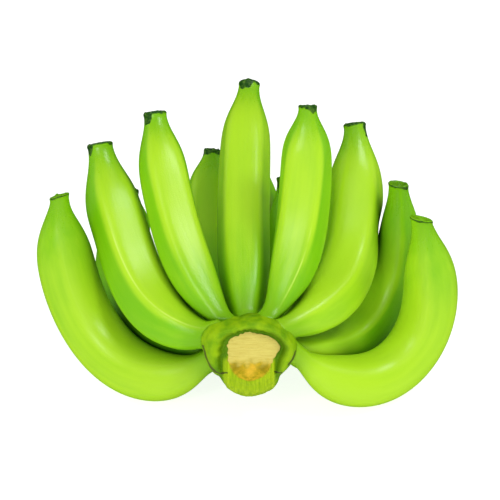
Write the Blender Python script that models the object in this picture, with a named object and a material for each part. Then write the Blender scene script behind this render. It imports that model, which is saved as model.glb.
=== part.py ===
"""A hand of green bananas: twelve fingers in two rows, grown out of one crown that was cut from its stem.

The hand lies on the backs of its fingers, tips up, with the cut face of the crown looking forward (-Y)
and up. The surface it rests on is z = 0, and presses small flat spots into three of the fingers.
All lengths are metres and all angles are degrees.
"""
import bmesh
import bpy
import numpy as np

# The crown's middle, with the middle of the hand's footprint at the origin.
CROWN_AT = np.array([0.0023, -0.0924, 0.0620])

# Each finger: heading of its root from straight back (+Y) to the right (+X), turn of that heading along its
# length, slope at the root, slope at the tip, length, largest radius, height of its root over the crown's
# middle, how much of the bend is in its middle part, how much of the bend comes early, radius of the flower
# end as a share of the largest, and length of the narrowing to it.
FINGERS = {
    "finger_outer_1": (-73, 36, -52, 97, 0.2140, 0.0194, -0.0105, 0.39, 0.10, 0.33, 0.0270),
    "finger_outer_2": (-50, 84, -18, 75, 0.1940, 0.0182, -0.0170, 0.16, -0.28, 0.34, 0.0140),
    "finger_outer_3": (-19, 29, -16, 54, 0.1885, 0.0158, -0.0075, 0.32, -0.09, 0.41, 0.0155),
    "finger_outer_4": (1, 1, -33, 80, 0.2110, 0.0184, -0.0170, 0.64, -0.02, 0.32, 0.0245),
    "finger_outer_5": (29, -51, -31, 71, 0.1665, 0.0167, -0.0085, 0.35, 0.00, 0.39, 0.0210),
    "finger_outer_6": (55, -21, -39, 100, 0.2015, 0.0152, -0.0080, 0.75, 0.05, 0.44, 0.0260),
    "finger_outer_7": (83, -45, -49, 108, 0.2225, 0.0181, -0.0015, 0.97, 0.08, 0.38, 0.0340),
    "finger_inner_1": (-61, 41, -25, 61, 0.1735, 0.0188, 0.0045, -0.10, 0.25, 0.46, 0.0260),
    "finger_inner_2": (-39, 26, 19, 57, 0.1560, 0.0161, 0.0040, -0.01, 0.14, 0.48, 0.0210),
    "finger_inner_3": (-4, 10, 27, 41, 0.1885, 0.0169, -0.0050, 0.33, -0.08, 0.44, 0.0235),
    "finger_inner_4": (33, -31, 23, 93, 0.1475, 0.0162, 0.0080, -0.07, 0.07, 0.37, 0.0190),
    "finger_inner_5": (55, -65, 1, 61, 0.1760, 0.0184, 0.0050, 1.58, 0.09, 0.41, 0.0240),
}

# Where the centre lines start, inside the crown.
ROOT_HALF_WIDTH = 0.020
ROOT_DEPTH = 0.014
ROOT_BACK = 0.005
OUTER_ROW_BACK = 0.005
# Inside the crown each finger narrows towards this place, given from the crown's middle.
ROOT_CORE = np.array([0.0, 0.012, -0.004])
ROOT_TAILS = ((1.0, 0.30), (0.5, 0.75))

# How a finger swells from its neck: radius of the neck as a share of the largest, length of the neck, and
# length of the swell. The two big outer fingers have thinner, longer necks.
USUAL_NECK = (0.50, 0.009, 0.024)
NECKS = {
    "finger_outer_1": (0.44, 0.017, 0.026),
    "finger_outer_7": (0.38, 0.021, 0.0245),
}
SWELL_POWER = 1.6
TIP_POWER = 2.2
MIDDLE_SWELL = 0.04
SCAR_RISE = 0.0008
SCAR_SHARE = 0.70
# Some flower ends are cut askew: rise of the hollow side as a share of its radius, fading along the finger.
END_SLANT = {
    "finger_outer_1": 0.70,
    "finger_outer_5": 0.20,
    "finger_outer_6": 0.45,
    "finger_outer_7": 0.85,
    "finger_inner_1": 0.10,
    "finger_inner_4": 0.55,
    "finger_inner_5": 0.10,
}
SLANT_RUN = 0.007
FACETS = 5
FACET_POWER = 4.5
FACET_FADE = 0.035

# Fingers that grew against each other are pressed flat, with this gap between them.
CONTACT_GAP = 0.0008
CONTACT_ROUNDING = 0.0004
CONTACT_REACH = 6.0
CONTACT_HALVINGS = 26
LEAST_FALL = 1e-9
# The fingers stop short of the crown by this gap.
CROWN_GAP = 0.0003

SPINE_STEPS = 120
CORNERS = 20
STATIONS = (0.0, 0.05, 0.09, 0.13, 0.17, 0.22, 0.28, 0.35, 0.43, 0.51, 0.59, 0.67,
            0.74, 0.80, 0.85, 0.89, 0.925, 0.955, 0.98, 1.0)
# A finger that the hand rests on has a ring on each side of its lowest place, this far from it, and no other
# ring closer to that place than the clearance.
REST_HALF_LENGTH = 0.006
REST_CLEARANCE = 0.012
# Skin closer to the resting surface than this is pressed flat onto it.
REST_SPREAD = 0.0006

# The crown's front leans back by this angle, so that the cut looks up a little.
CROWN_TILT = 25.0
CROWN_ANGLES = 72
OUTLINE_SOFTNESS = 2.5
OUTLINE_STEP = 0.5

# The crown seen from its front, by angle from +X: radius and height of the cut's edge, radius and height of
# the collar's ridge, radius and height of the outer rim. Heights are towards the viewer from the cut.
CROWN_OUTLINE = {
    3: (0.0200, 0.0000, 0.0252, 0.0060, 0.0295, -0.004),
    28: (0.0162, 0.0000, 0.0218, 0.0058, 0.0255, -0.004),
    48: (0.0132, 0.0000, 0.0188, 0.0054, 0.0232, -0.003),
    70: (0.0114, 0.0000, 0.0163, 0.0050, 0.0213, -0.003),
    110: (0.0110, 0.0000, 0.0158, 0.0050, 0.0196, -0.003),
    130: (0.0117, 0.0000, 0.0182, 0.0054, 0.0222, -0.003),
    153: (0.0145, 0.0000, 0.0232, 0.0062, 0.0288, -0.004),
    165: (0.0150, 0.0000, 0.0240, 0.0062, 0.0302, -0.004),
    183: (0.0155, 0.0000, 0.0234, 0.0060, 0.0290, -0.004),
    206: (0.0184, -0.0004, 0.0236, 0.0048, 0.0280, -0.005),
    216: (0.0206, -0.0008, 0.0240, 0.0022, 0.0275, -0.006),
    224: (0.0214, -0.0010, 0.0240, -0.0004, 0.0258, -0.008),
    232: (0.0206, -0.0014, 0.0245, -0.0020, 0.0276, -0.010),
    243: (0.0195, -0.0018, 0.0256, -0.0038, 0.0306, -0.012),
    270: (0.0205, -0.0024, 0.0266, -0.0058, 0.0328, -0.014),
    298: (0.0196, -0.0018, 0.0258, -0.0040, 0.0310, -0.012),
    309: (0.0208, -0.0013, 0.0248, -0.0020, 0.0282, -0.010),
    317: (0.0210, -0.0009, 0.0236, -0.0002, 0.0254, -0.007),
    333: (0.0176, -0.0003, 0.0232, 0.0044, 0.0270, -0.005),
    350: (0.0170, 0.0000, 0.0240, 0.0058, 0.0288, -0.004),
}
GROOVE_WIDTH = 0.0012
GROOVE_DEPTH = 0.0010
# The cut swells a little: share of its radius and of its edge's height at a ring inside it, rise of that
# ring, and rise of its middle.
CUT_RING_SHARE = 0.5
CUT_RING_SINK = 0.3
CUT_RING_RISE = 0.0004
CUT_RISE = 0.0006
# A ring on each side of the collar's ridge: share of the way out, and share of the way in height.
COLLAR_INSIDE = (0.55, 0.7)
COLLAR_OUTSIDE = (0.55, 0.3)
# The crown behind its rim: share of the rim's radius, and depth behind the cut.
CROWN_BACK = ((0.98, -0.014), (0.92, -0.022), (0.78, -0.030), (0.45, -0.036))
CROWN_DEPTH = -0.038

PEEL_COLOUR = (0.27, 0.55, 0.03, 1.0)
PEEL_ROUGHNESS = 0.42
CROWN_COLOUR = (0.30, 0.50, 0.03, 1.0)
CROWN_ROUGHNESS = 0.55


def unit(vectors):
    """Vectors scaled to length one."""
    return vectors / np.linalg.norm(vectors, axis=-1, keepdims=True)


def spine(name):
    """Evenly spaced points of a finger's centre line, with its direction, sideways and hollow-side vectors.

    The slope goes from root to tip by share - focus * sin(2 pi share) / (2 pi) + early * sin(pi share)^2, and
    the heading turns by share + early * sin(pi share)^2.
    The points are the running sum of the direction that the two angles give.
    """
    heading, turn, root_slope, tip_slope, length, _, root_height, focus, early = FINGERS[name][:9]
    share = np.linspace(0.0, 1.0, SPINE_STEPS + 1)
    moved = early * np.sin(np.pi * share) ** 2
    bend = share - focus * np.sin(2 * np.pi * share) / (2 * np.pi) + moved
    slope = np.radians(root_slope + (tip_slope - root_slope) * bend)
    facing = np.radians(heading + turn * (share + moved))
    level_run = np.cos(slope)
    along = np.stack([np.sin(facing) * level_run, np.cos(facing) * level_run, np.sin(slope)], 1)
    row_back = OUTER_ROW_BACK if "outer" in name else 0.0
    start = CROWN_AT + np.array([
        ROOT_HALF_WIDTH * np.sin(facing[0]),
        ROOT_DEPTH * np.cos(facing[0]) + ROOT_BACK + row_back,
        root_height,
    ])
    steps = (along[1:] + along[:-1]) / 2 * length / SPINE_STEPS
    points = start + np.vstack([np.zeros(3), np.cumsum(steps, axis=0)])
    level = np.stack([np.cos(facing), -np.sin(facing), np.zeros_like(facing)], 1)
    side = unit(level - (level * along).sum(1, keepdims=True) * along)
    return points, along, side, np.cross(side, along)


def girth(name, share):
    """Mean radius at a share of the length: a narrow neck, a long even body and a blunt flower end.

    The swell and the taper are both 1 - exp(-(distance / run) ** power).
    """
    length, largest = FINGERS[name][4:6]
    tip_share, tip_length = FINGERS[name][9:11]
    neck_share, neck_length, swell_length = NECKS.get(name, USUAL_NECK)
    from_neck = np.maximum(share * length - neck_length, 0.0) / swell_length
    from_tip = (1.0 - share) * length / tip_length
    swell = neck_share + (1 - neck_share) * (1 - np.exp(-from_neck ** SWELL_POWER))
    taper = tip_share + (1 - tip_share) * (1 - np.exp(-from_tip ** TIP_POWER))
    return largest * swell * taper * (1 - MIDDLE_SWELL + MIDDLE_SWELL * np.sin(np.pi * share))


def section(finger, share, angle):
    """Radius around a finger as a share of its mean: soft facets, one of them on the hollow side.

    The facets are a power mean of flat sides, and fade to a circle at both ends of the finger.
    """
    facets = np.arange(FACETS) * 2 * np.pi / FACETS
    lean = np.maximum(np.cos(angle[:, None] - facets), 0.0) ** FACET_POWER
    hold = lean.sum(1) ** (-1 / FACET_POWER)
    from_end = np.minimum(share, 1.0 - share) * finger[4] / FACET_FADE
    return 1.0 + (1.0 - np.exp(-from_end ** 2))[:, None] * (hold / hold.mean() - 1.0)


def room(points, others):
    """For each point, the distance to the nearest other finger's skin, less than zero inside it."""
    least = np.full(len(points), np.inf)
    for centres, radii in others:
        start = centres[:-1]
        run = centres[1:] - start
        offset = points[:, None, :] - start
        share = np.clip((offset * run).sum(2) / (run ** 2).sum(1), 0.0, 1.0)
        apart = np.linalg.norm(offset - share[..., None] * run, axis=2)
        apart = apart - (radii[:-1] + share * (radii[1:] - radii[:-1]))
        least = np.minimum(least, apart.min(1))
    return least


def pressed(centres, outward, radii, mean, others):
    """Radii drawn in until the skin is no deeper in a neighbour than the neighbour is in it, less the gap.

    The place along each ray is found by halving, and joined to the free skin by a soft minimum.
    """
    farthest = radii + CONTACT_ROUNDING * CONTACT_REACH
    low = np.zeros_like(radii)
    high = farthest
    for _ in range(CONTACT_HALVINGS):
        middle = (low + high) / 2
        points = (centres[:, None, :] + outward * middle[..., None]).reshape(-1, 3)
        spare = room(points, others).reshape(radii.shape)
        too_far = middle - mean[:, None] - spare + CONTACT_GAP > 0
        high = np.where(too_far, middle, high)
        low = np.where(too_far, low, middle)
    soft = np.exp(-radii / CONTACT_ROUNDING) + np.exp(-low / CONTACT_ROUNDING)
    return np.where(high < farthest, -CONTACT_ROUNDING * np.log(soft), radii)


def stations(name, points):
    """Shares of the length at which a finger gets a ring, with two astride its lowest place if it rests there."""
    share = np.array(STATIONS)
    along_it = np.linspace(0.0, 1.0, len(points))
    underside = points[:, 2] - girth(name, along_it)
    lowest = along_it[underside.argmin()]
    if underside.min() > 0:
        return share
    length = FINGERS[name][4]
    kept = share[np.abs(share - lowest) * length > REST_CLEARANCE]
    astride = lowest + np.array([-1.0, 1.0]) * REST_HALF_LENGTH / length
    return np.sort(np.concatenate([kept, astride]))


def finger_rings(name, lines):
    """Rings of points around a finger's centre line, from its tail in the crown to its flower scar."""
    finger = FINGERS[name]
    points, along = lines[name][:2]
    share = stations(name, points)
    at = share * SPINE_STEPS
    steps = np.arange(SPINE_STEPS + 1)
    pick = [np.stack([np.interp(at, steps, field[:, k]) for k in range(3)], 1) for field in lines[name]]
    centres, sides, hollows = pick[0], unit(pick[2]), unit(pick[3])
    mean = girth(name, share)
    angle = np.arange(CORNERS) * 2 * np.pi / CORNERS
    radii = mean[:, None] * section(finger, share, angle)
    outward = hollows[:, None, :] * np.cos(angle)[:, None] + sides[:, None, :] * np.sin(angle)[:, None]
    spine_share = steps / SPINE_STEPS
    others = [(lines[key][0], girth(key, spine_share)) for key in FINGERS if key != name]
    radii = pressed(centres, outward, radii, mean, others)
    fall = np.maximum(-outward[..., 2], LEAST_FALL)
    to_surface = centres[:, 2][:, None] / fall
    radii = np.where(radii > to_surface - REST_SPREAD, to_surface, radii)
    from_end = (1.0 - share) * finger[4] / SLANT_RUN
    askew = END_SLANT.get(name, 0.0) * np.exp(-from_end ** 2)[:, None] * radii * np.cos(angle)
    rings = centres[:, None, :] + outward * radii[..., None] + unit(pick[1])[:, None, :] * askew[..., None]
    core = CROWN_AT + ROOT_CORE
    root_ring = rings[0] - centres[0]
    tails = [points[0] + (core - points[0]) * run + root_ring * width for run, width in ROOT_TAILS]
    scar = points[-1] + along[-1] * SCAR_RISE + (rings[-1] - centres[-1]) * SCAR_SHARE
    return np.concatenate([tails, rings, scar[None]]), core, points[-1]


def closed_mesh(name, rings, first_end, last_end):
    """A closed mesh from rings of points, with a fan to a middle point at each end."""
    model = bmesh.new()
    rows = [[model.verts.new(point) for point in ring] for ring in rings]
    count = len(rows[0])
    for lower, upper in zip(rows[:-1], rows[1:]):
        for k in range(count):
            after = (k + 1) % count
            model.faces.new((lower[k], lower[after], upper[after], upper[k]))
    first = model.verts.new(first_end)
    last = model.verts.new(last_end)
    for k in range(count):
        after = (k + 1) % count
        model.faces.new((first, rows[0][after], rows[0][k]))
        model.faces.new((last, rows[-1][k], rows[-1][after]))
    bmesh.ops.recalc_face_normals(model, faces=model.faces)
    bmesh.ops.triangulate(model, faces=model.faces)
    mesh = bpy.data.meshes.new(name)
    model.to_mesh(mesh)
    model.free()
    mesh.shade_smooth()
    return mesh


def around(angles):
    """The crown's outline at any angles: the listed values joined by straight lines, then softened."""
    fine = np.arange(0.0, 360.0, OUTLINE_STEP)
    listed = np.array(list(CROWN_OUTLINE.values()))
    degrees = np.array(list(CROWN_OUTLINE))
    reach = (fine + 180.0) % 360.0 - 180.0
    weight = np.exp(-(reach / OUTLINE_SOFTNESS) ** 2 / 2)
    spread = np.fft.rfft(weight / weight.sum())
    columns = []
    for column in listed.T:
        joined = np.interp(fine, degrees, column, period=360.0)
        softened = np.fft.irfft(np.fft.rfft(joined) * spread, len(fine))
        columns.append(np.interp(angles, fine, softened, period=360.0))
    return columns


def crown_rings():
    """Rings of the crown from the middle of its cut, over the collar and rim, to the middle of its back."""
    angles = np.arange(CROWN_ANGLES) * 360.0 / CROWN_ANGLES
    cut, cut_height, ridge, ridge_height, rim, rim_height = around(angles)
    inward, raised = COLLAR_INSIDE
    outward, lowered = COLLAR_OUTSIDE
    profile = [
        (cut * CUT_RING_SHARE, cut_height * CUT_RING_SINK + CUT_RING_RISE),
        (cut, cut_height),
        (cut + GROOVE_WIDTH, cut_height - GROOVE_DEPTH * (ridge_height > 0)),
        (cut + (ridge - cut) * inward, cut_height + (ridge_height - cut_height) * raised),
        (ridge, ridge_height),
        (ridge + (rim - ridge) * outward, ridge_height + (rim_height - ridge_height) * lowered),
        (rim, rim_height),
    ]
    profile += [(rim * share, np.full_like(rim, depth)) for share, depth in CROWN_BACK]
    lean = np.radians(CROWN_TILT)
    across = np.array([1.0, 0.0, 0.0])
    upward = np.array([0.0, np.sin(lean), np.cos(lean)])
    forward = np.array([0.0, -np.cos(lean), np.sin(lean)])
    turn = np.radians(angles)[:, None]
    spoke = np.cos(turn) * across + np.sin(turn) * upward
    rings = [CROWN_AT + spoke * out[:, None] + forward * height[:, None] for out, height in profile]
    return rings, CROWN_AT + forward * CUT_RISE, CROWN_AT + forward * CROWN_DEPTH


def material(name, colour, roughness):
    """A plain principled material."""
    made = bpy.data.materials.new(name)
    made.use_nodes = True
    shader = made.node_tree.nodes["Principled BSDF"]
    shader.inputs["Base Color"].default_value = colour
    shader.inputs["Roughness"].default_value = roughness
    shader.inputs["Metallic"].default_value = 0.0
    return made


def place(name, mesh, finish):
    """An object of this mesh in the scene, with its own material."""
    piece = bpy.data.objects.new(name, mesh)
    mesh.materials.append(finish)
    bpy.context.collection.objects.link(piece)
    return piece


def grown_crown(crown):
    """A cutter: the crown made larger by the gap that its fingers keep to it."""
    model = bmesh.new()
    model.from_mesh(crown.data)
    model.normal_update()
    moved = [(vertex, vertex.co + vertex.normal * CROWN_GAP) for vertex in model.verts]
    for vertex, target in moved:
        vertex.co = target
    mesh = bpy.data.meshes.new("crown_cutter")
    model.to_mesh(mesh)
    model.free()
    cutter = bpy.data.objects.new("crown_cutter", mesh)
    bpy.context.collection.objects.link(cutter)
    cutter.display_type = "WIRE"
    cutter.hide_render = True
    return cutter


def main():
    """The crown, and each finger with its root cut back to the crown's surface."""
    for old in list(bpy.data.objects):
        bpy.data.objects.remove(old, do_unlink=True)
    crown_mesh = closed_mesh("crown", *crown_rings())
    crown = place("crown", crown_mesh, material("crown", CROWN_COLOUR, CROWN_ROUGHNESS))
    cutter = grown_crown(crown)
    lines = {name: spine(name) for name in FINGERS}
    for name in FINGERS:
        mesh = closed_mesh(name, *finger_rings(name, lines))
        finger = place(name, mesh, material(name, PEEL_COLOUR, PEEL_ROUGHNESS))
        trim = finger.modifiers.new("root_cut", "BOOLEAN")
        trim.operation = "DIFFERENCE"
        trim.solver = "EXACT"
        trim.object = cutter


main()
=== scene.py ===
"""The looks of a hand of green bananas, around its packed solids.

Twelve faceted fingers with dry flower ends grow out of one crown with a raised collar, a fibrous cut and a
stub. Lengths are in metres and angles in degrees unless a property says otherwise.
"""

import math
from collections import namedtuple

import bpy
import numpy as np
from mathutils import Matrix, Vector


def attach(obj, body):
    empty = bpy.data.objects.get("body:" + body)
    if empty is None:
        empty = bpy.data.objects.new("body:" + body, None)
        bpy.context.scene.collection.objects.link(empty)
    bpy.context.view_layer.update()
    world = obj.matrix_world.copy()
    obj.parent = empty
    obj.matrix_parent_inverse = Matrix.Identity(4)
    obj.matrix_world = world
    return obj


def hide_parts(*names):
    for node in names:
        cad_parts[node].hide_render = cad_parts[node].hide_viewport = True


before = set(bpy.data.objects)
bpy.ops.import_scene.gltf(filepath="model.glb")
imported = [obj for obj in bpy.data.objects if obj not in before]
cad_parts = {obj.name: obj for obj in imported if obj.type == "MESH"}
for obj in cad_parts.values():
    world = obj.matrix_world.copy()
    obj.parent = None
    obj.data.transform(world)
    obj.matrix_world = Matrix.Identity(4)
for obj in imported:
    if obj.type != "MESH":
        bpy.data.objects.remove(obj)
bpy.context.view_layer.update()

bl_info = {
    "name": "Green banana hand",
    "version": (1, 0, 0),
    "blender": (4, 5, 0),
    "location": "View3D > Sidebar > Banana hand",
    "description": "Fingers, crown and studio for a hand of green bananas",
    "category": "Object",
}

# Middle of the crown's front.
CROWN_AT = np.array([0.0023, -0.0924, 0.0620])

# Each finger: heading of its root from straight back (+Y) to the right (+X), turn of that heading along its
# length, slope at the root, slope at the tip, length, largest radius, height of its root over the crown's
# middle, how much of the bend is in its middle part, how much of the bend comes early, radius of the flower
# end as a share of the largest, and length of the narrowing to it.
Finger = namedtuple("Finger", (
    "heading", "turn", "root_slope", "tip_slope", "length", "radius", "root_height", "focus", "early",
    "end_share", "end_run",
))
FINGERS = {
    "outer_1": Finger(-73, 36, -52, 97, 0.2140, 0.0194, -0.0105, 0.39, 0.10, 0.33, 0.0270),
    "outer_2": Finger(-50, 84, -18, 75, 0.1940, 0.0182, -0.0170, 0.16, -0.28, 0.34, 0.0140),
    "outer_3": Finger(-19, 29, -16, 54, 0.1885, 0.0158, -0.0075, 0.32, -0.09, 0.41, 0.0155),
    "outer_4": Finger(1, 1, -33, 80, 0.2110, 0.0184, -0.0170, 0.64, -0.02, 0.32, 0.0245),
    "outer_5": Finger(29, -51, -31, 71, 0.1665, 0.0167, -0.0085, 0.35, 0.00, 0.39, 0.0210),
    "outer_6": Finger(55, -21, -39, 100, 0.2015, 0.0152, -0.0080, 0.75, 0.05, 0.44, 0.0260),
    "outer_7": Finger(83, -45, -49, 108, 0.2225, 0.0181, -0.0015, 0.97, 0.08, 0.38, 0.0340),
    "inner_1": Finger(-61, 41, -25, 61, 0.1735, 0.0188, 0.0045, -0.10, 0.25, 0.46, 0.0260),
    "inner_2": Finger(-39, 26, 19, 57, 0.1560, 0.0161, 0.0040, -0.01, 0.14, 0.48, 0.0210),
    "inner_3": Finger(-4, 10, 27, 41, 0.1885, 0.0169, -0.0050, 0.33, -0.08, 0.44, 0.0235),
    "inner_4": Finger(33, -31, 23, 93, 0.1475, 0.0162, 0.0080, -0.07, 0.07, 0.37, 0.0190),
    "inner_5": Finger(55, -65, 1, 61, 0.1760, 0.0184, 0.0050, 1.58, 0.09, 0.41, 0.0240),
}

# Where the centre lines start, inside the crown, and the rings that narrow to the core: share of the way to it
# and of the root's width.
ROOT_HALF_WIDTH = 0.020
ROOT_DEPTH = 0.014
ROOT_BACK = 0.005
OUTER_ROW_BACK = 0.005
ROOT_CORE = np.array([0.0, 0.012, -0.004])
ROOT_TAILS = ((1.0, 0.30), (0.5, 0.75))

# How a finger swells from its neck: radius of the neck as a share of the largest, length of the neck, and
# length of the swell. The two big outer fingers have thinner, longer necks.
USUAL_NECK = (0.50, 0.009, 0.024)
NECKS = {
    "outer_1": (0.44, 0.017, 0.026),
    "outer_7": (0.38, 0.021, 0.0245),
}
SWELL_POWER = 1.6
END_POWER = 2.2
MIDDLE_SWELL = 0.04
# The section has this many flat sides. A lower power makes it rounder.
FACETS = 5
FACET_POWER = 8.0
ROUNDER = {"outer_1": 4.0, "outer_7": 4.0}
FACET_FADE = 0.035

# Where fingers press on each other: coarse lines and grids, and how near a neighbour has to come.
SPINE_STEPS = 120
PRESS_SPINE_STEPS = 60
PRESS_ROWS = 56
PRESS_COLUMNS = 40
PRESS_REACH = 1.5
PRESS_HALVINGS = 16
PRESS_NEIGHBOUR_RANGE = 0.045
LEAST_FALL = 1e-9

# Rows along a finger: where the neck and the tip zones end, and the spacing in the neck, body and tip.
NECK_ZONE = 0.040
TIP_ZONE = 0.016
NECK_STEP = 0.0010
BODY_STEP = 0.0018
TIP_STEP = 0.0004
FINGER_COLUMNS = 100
# Distances to neighbours are worked out for one column in this many.
COLUMN_STEP = 4
# Rings nearer to the crown's middle than this may run into it.
CROWN_REACH = 0.055
# Slow waves in the skin: wavelengths round and along the finger, and how near the end they fade out.
WAVE_LENGTHS = (0.030, 0.030, 0.060)
WAVE_FADE = 0.02
# The end's edge stands out by this share of its radius.
RIM_FLARE = 0.05
RIM_RUN = 0.0015
# First seeds of the noise. Each finger adds its own number.
WAVE_SEED = 40
LUMP_SEED = 90
GRAIN_SEED = 130
STAIN_SEED = 170
# Some flower ends are cut askew: rise of the hollow side as a share of its radius, fading along the finger.
END_SLANT = {
    "outer_1": 0.70, "outer_5": 0.20, "outer_6": 0.45, "outer_7": 0.85, "inner_1": 0.10, "inner_4": 0.55,
    "inner_5": 0.10,
}
SLANT_RUN = 0.007
# How light the peel is, from 0 to 1, partly painted light and shade: the side facets, the back-row fingers and
# the parts near the root are painted darker. Columns: on the sides near the root and beyond, on the hollow side
# near the root and beyond, and the shares of the length between which that changes.
USUAL_TONE_AND_PAINTED_SHADE = (0.22, 0.20, 0.36, 0.90, 0.16, 0.56)
TONES_AND_PAINTED_SHADE = {
    "outer_1": (0.97, 0.74, 0.97, 0.97, 0.10, 0.50),
    "outer_2": (0.02, 0.02, 0.10, 0.30, 0.20, 0.60),
    "outer_3": (0.05, 0.35, 0.10, 0.75, 0.30, 0.70),
    "outer_6": (0.95, 0.28, 0.85, 0.80, 0.22, 0.44),
    "outer_7": (0.99, 0.78, 0.99, 0.99, 0.10, 0.50),
    "inner_1": (0.24, 0.22, 0.62, 0.90, 0.06, 0.36),
    "inner_3": (0.22, 0.45, 0.36, 0.92, 0.16, 0.56),
    "inner_5": (0.60, 0.62, 0.92, 0.98, 0.12, 0.42),
}
# The hollow side lies within these degrees. Each finger's tone also differs a little.
HOLLOW_SIDE = (56.0, 40.0)
TONE_SPREAD = 0.03
TONE_TURN = 2.4
# Share of the length past which the tone falls, down to this part of it at the end.
TIP_FADE = 0.84
TIP_FADES = {"outer_1": 0.50, "outer_7": 0.55, "outer_6": 0.60}
TIP_TONE = 0.45
# Painted shade between fingers: how far the dark green painted where a neighbour shades the peel goes from
# it, and the share of the length that it starts at.
PAINTED_SHADE_RUNS = {
    "outer_2": (0.010, 0.0), "outer_3": (0.004, 0.0), "outer_4": (0.010, 0.0), "outer_5": (0.010, 0.0),
    "outer_6": (0.009, 0.26), "outer_1": (0.008, 0.0),
}
PAINTED_SHADE_EASE = (0.10, 0.05)
PAINTED_SHADE_FROM_END = (0.002, 0.016)
# How far the colours of the flower end and the neck reach.
TIP_COLOUR_RUN = 0.018
TIP_COLOUR_POWER = 1.5
NECK_COLOUR = (0.022, 0.002)
# Worn lines: ridge that carries one, counted from the hollow side, and the shares of the length it runs
# between.
WORN_RIDGES = {"inner_1": (4, 0.10, 0.60), "inner_4": (0, 0.14, 0.40), "outer_6": (4, 0.08, 0.34)}
WORN_FADE = 0.10
RIDGE_END_RUN = 0.03
# Dark stains that run down from the flower end: angle from the hollow side, half width in degrees and length.
STAINS = {
    "outer_1": ((-75, 22, 0.0012), (70, 26, 0.0016)),
    "outer_3": ((0, 120, 0.0030), (-60, 30, 0.0040)),
    "outer_5": ((-60, 60, 0.0080),),
    "outer_6": ((-30, 70, 0.0008), (80, 30, 0.0020)),
    "outer_7": ((0, 60, 0.0010),),
    "inner_1": ((-72, 26, 0.0050), (60, 34, 0.0022)),
    "inner_2": ((-58, 34, 0.0068), (10, 60, 0.0012)),
    "inner_3": ((-22, 48, 0.0056), (48, 36, 0.0020)),
    "inner_4": ((28, 50, 0.0036), (-50, 40, 0.0012)),
    "inner_5": ((66, 32, 0.0080), (-40, 50, 0.0012)),
}
STAIN_RAGGEDNESS = 0.3
STAIN_WAVE = 0.0045
STAIN_EDGE = (0.0010, -0.0014)
# How dry the flower end is: on its rim, from its edge to its middle, and at least at its edge. The ends that
# are still partly green have this share of it.
DRY_RIM = 0.62
DRY_RIM_RUN = 0.0007
END_DRYNESS = {0.0: 0.55, 0.10: 1.0, 0.30: 0.75, 1.0: 0.9}
END_EDGE_ROWS = 2
END_EDGE_DRYNESS = 0.75
GREENER_ENDS = {"outer_1": 0.40, "outer_6": 0.50, "outer_7": 0.22, "inner_5": 0.75}
# The dry end: share of the end's radius, and rise over the last ring.
END_PROFILE = (
    (1.00, 0.0), (0.985, 0.0004), (0.94, 0.0009), (0.86, 0.0012), (0.76, 0.0010), (0.62, 0.0004),
    (0.46, -0.0001), (0.34, 0.0001), (0.24, 0.0007), (0.14, 0.0013), (0.0, 0.0015),
)
END_ROWS = 26
END_MIDDLE_RISE = 0.0002
# Ragged tissue on the dry end, in shares of its radius: lumps on its lip and middle, and finer grain. The noise
# is shifted from one finger to the next.
LUMP_WAVE = 0.75
LUMP_SHIFT = 7.0
LUMP_POWER = 1.5
LIP_AT = 0.86
LIP_WIDTH = 0.16
MIDDLE_WIDTH = 0.3
MIDDLE_LUMPS = 0.6
GRAIN_WAVE = 0.28
GRAIN_SHIFT = 3.0
GRAIN_HEIGHT = 0.18
GRAIN_FADE_POWER = 8

# The crown leans back by this angle. Its outline is given from its front, by angle from +X: radius and height
# of the cut's edge, of the collar's ridge and of the outer rim. Heights are towards the viewer from the cut.
CROWN_TILT = 25.0
OUTLINE_STEP = 0.5
OUTLINE_SOFTNESS = 2.5
CROWN_OUTLINE = {
    3: (0.0200, 0.0000, 0.0252, 0.0060, 0.0295, -0.004),
    28: (0.0162, 0.0000, 0.0218, 0.0058, 0.0255, -0.004),
    48: (0.0132, 0.0000, 0.0188, 0.0054, 0.0232, -0.003),
    70: (0.0114, 0.0000, 0.0163, 0.0050, 0.0213, -0.003),
    110: (0.0110, 0.0000, 0.0158, 0.0050, 0.0196, -0.003),
    130: (0.0117, 0.0000, 0.0182, 0.0054, 0.0222, -0.003),
    153: (0.0145, 0.0000, 0.0232, 0.0062, 0.0288, -0.004),
    165: (0.0150, 0.0000, 0.0240, 0.0062, 0.0302, -0.004),
    183: (0.0155, 0.0000, 0.0234, 0.0060, 0.0290, -0.004),
    206: (0.0184, -0.0004, 0.0236, 0.0048, 0.0280, -0.005),
    216: (0.0206, -0.0008, 0.0240, 0.0022, 0.0275, -0.006),
    224: (0.0214, -0.0010, 0.0240, -0.0004, 0.0258, -0.008),
    232: (0.0206, -0.0014, 0.0245, -0.0020, 0.0276, -0.010),
    243: (0.0195, -0.0018, 0.0256, -0.0038, 0.0306, -0.012),
    270: (0.0205, -0.0024, 0.0266, -0.0058, 0.0328, -0.014),
    298: (0.0196, -0.0018, 0.0258, -0.0040, 0.0310, -0.012),
    309: (0.0208, -0.0013, 0.0248, -0.0020, 0.0282, -0.010),
    317: (0.0210, -0.0009, 0.0236, -0.0002, 0.0254, -0.007),
    333: (0.0176, -0.0003, 0.0232, 0.0044, 0.0270, -0.005),
    350: (0.0170, 0.0000, 0.0240, 0.0058, 0.0288, -0.004),
}
# The groove round the cut, and the cut's slightly raised middle.
GROOVE_WIDTH = 0.0012
GROOVE_DEPTH = 0.0010
CUT_RING_SHARE = 0.5
CUT_RING_SINK = 0.3
CUT_RING_RISE = 0.0004
CUT_RISE = 0.0006
# Bends in the collar's two sides, as shares of the way outwards and of the height.
COLLAR_INSIDE = (0.55, 0.7)
COLLAR_OUTSIDE = (0.55, 0.3)
# Rings of the closed back, as a share of the rim's radius and a height, and the height of its middle.
CROWN_BACK = ((0.98, -0.014), (0.92, -0.022), (0.78, -0.030), (0.45, -0.036))
CROWN_DEPTH = -0.038
CROWN_COLUMNS = 360
CROWN_FRONT_ROWS = 130
CROWN_BACK_ROWS = 40
CROWN_ROUNDING = 0.0007
COARSE_CROWN = (90, 36, 16)
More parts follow.
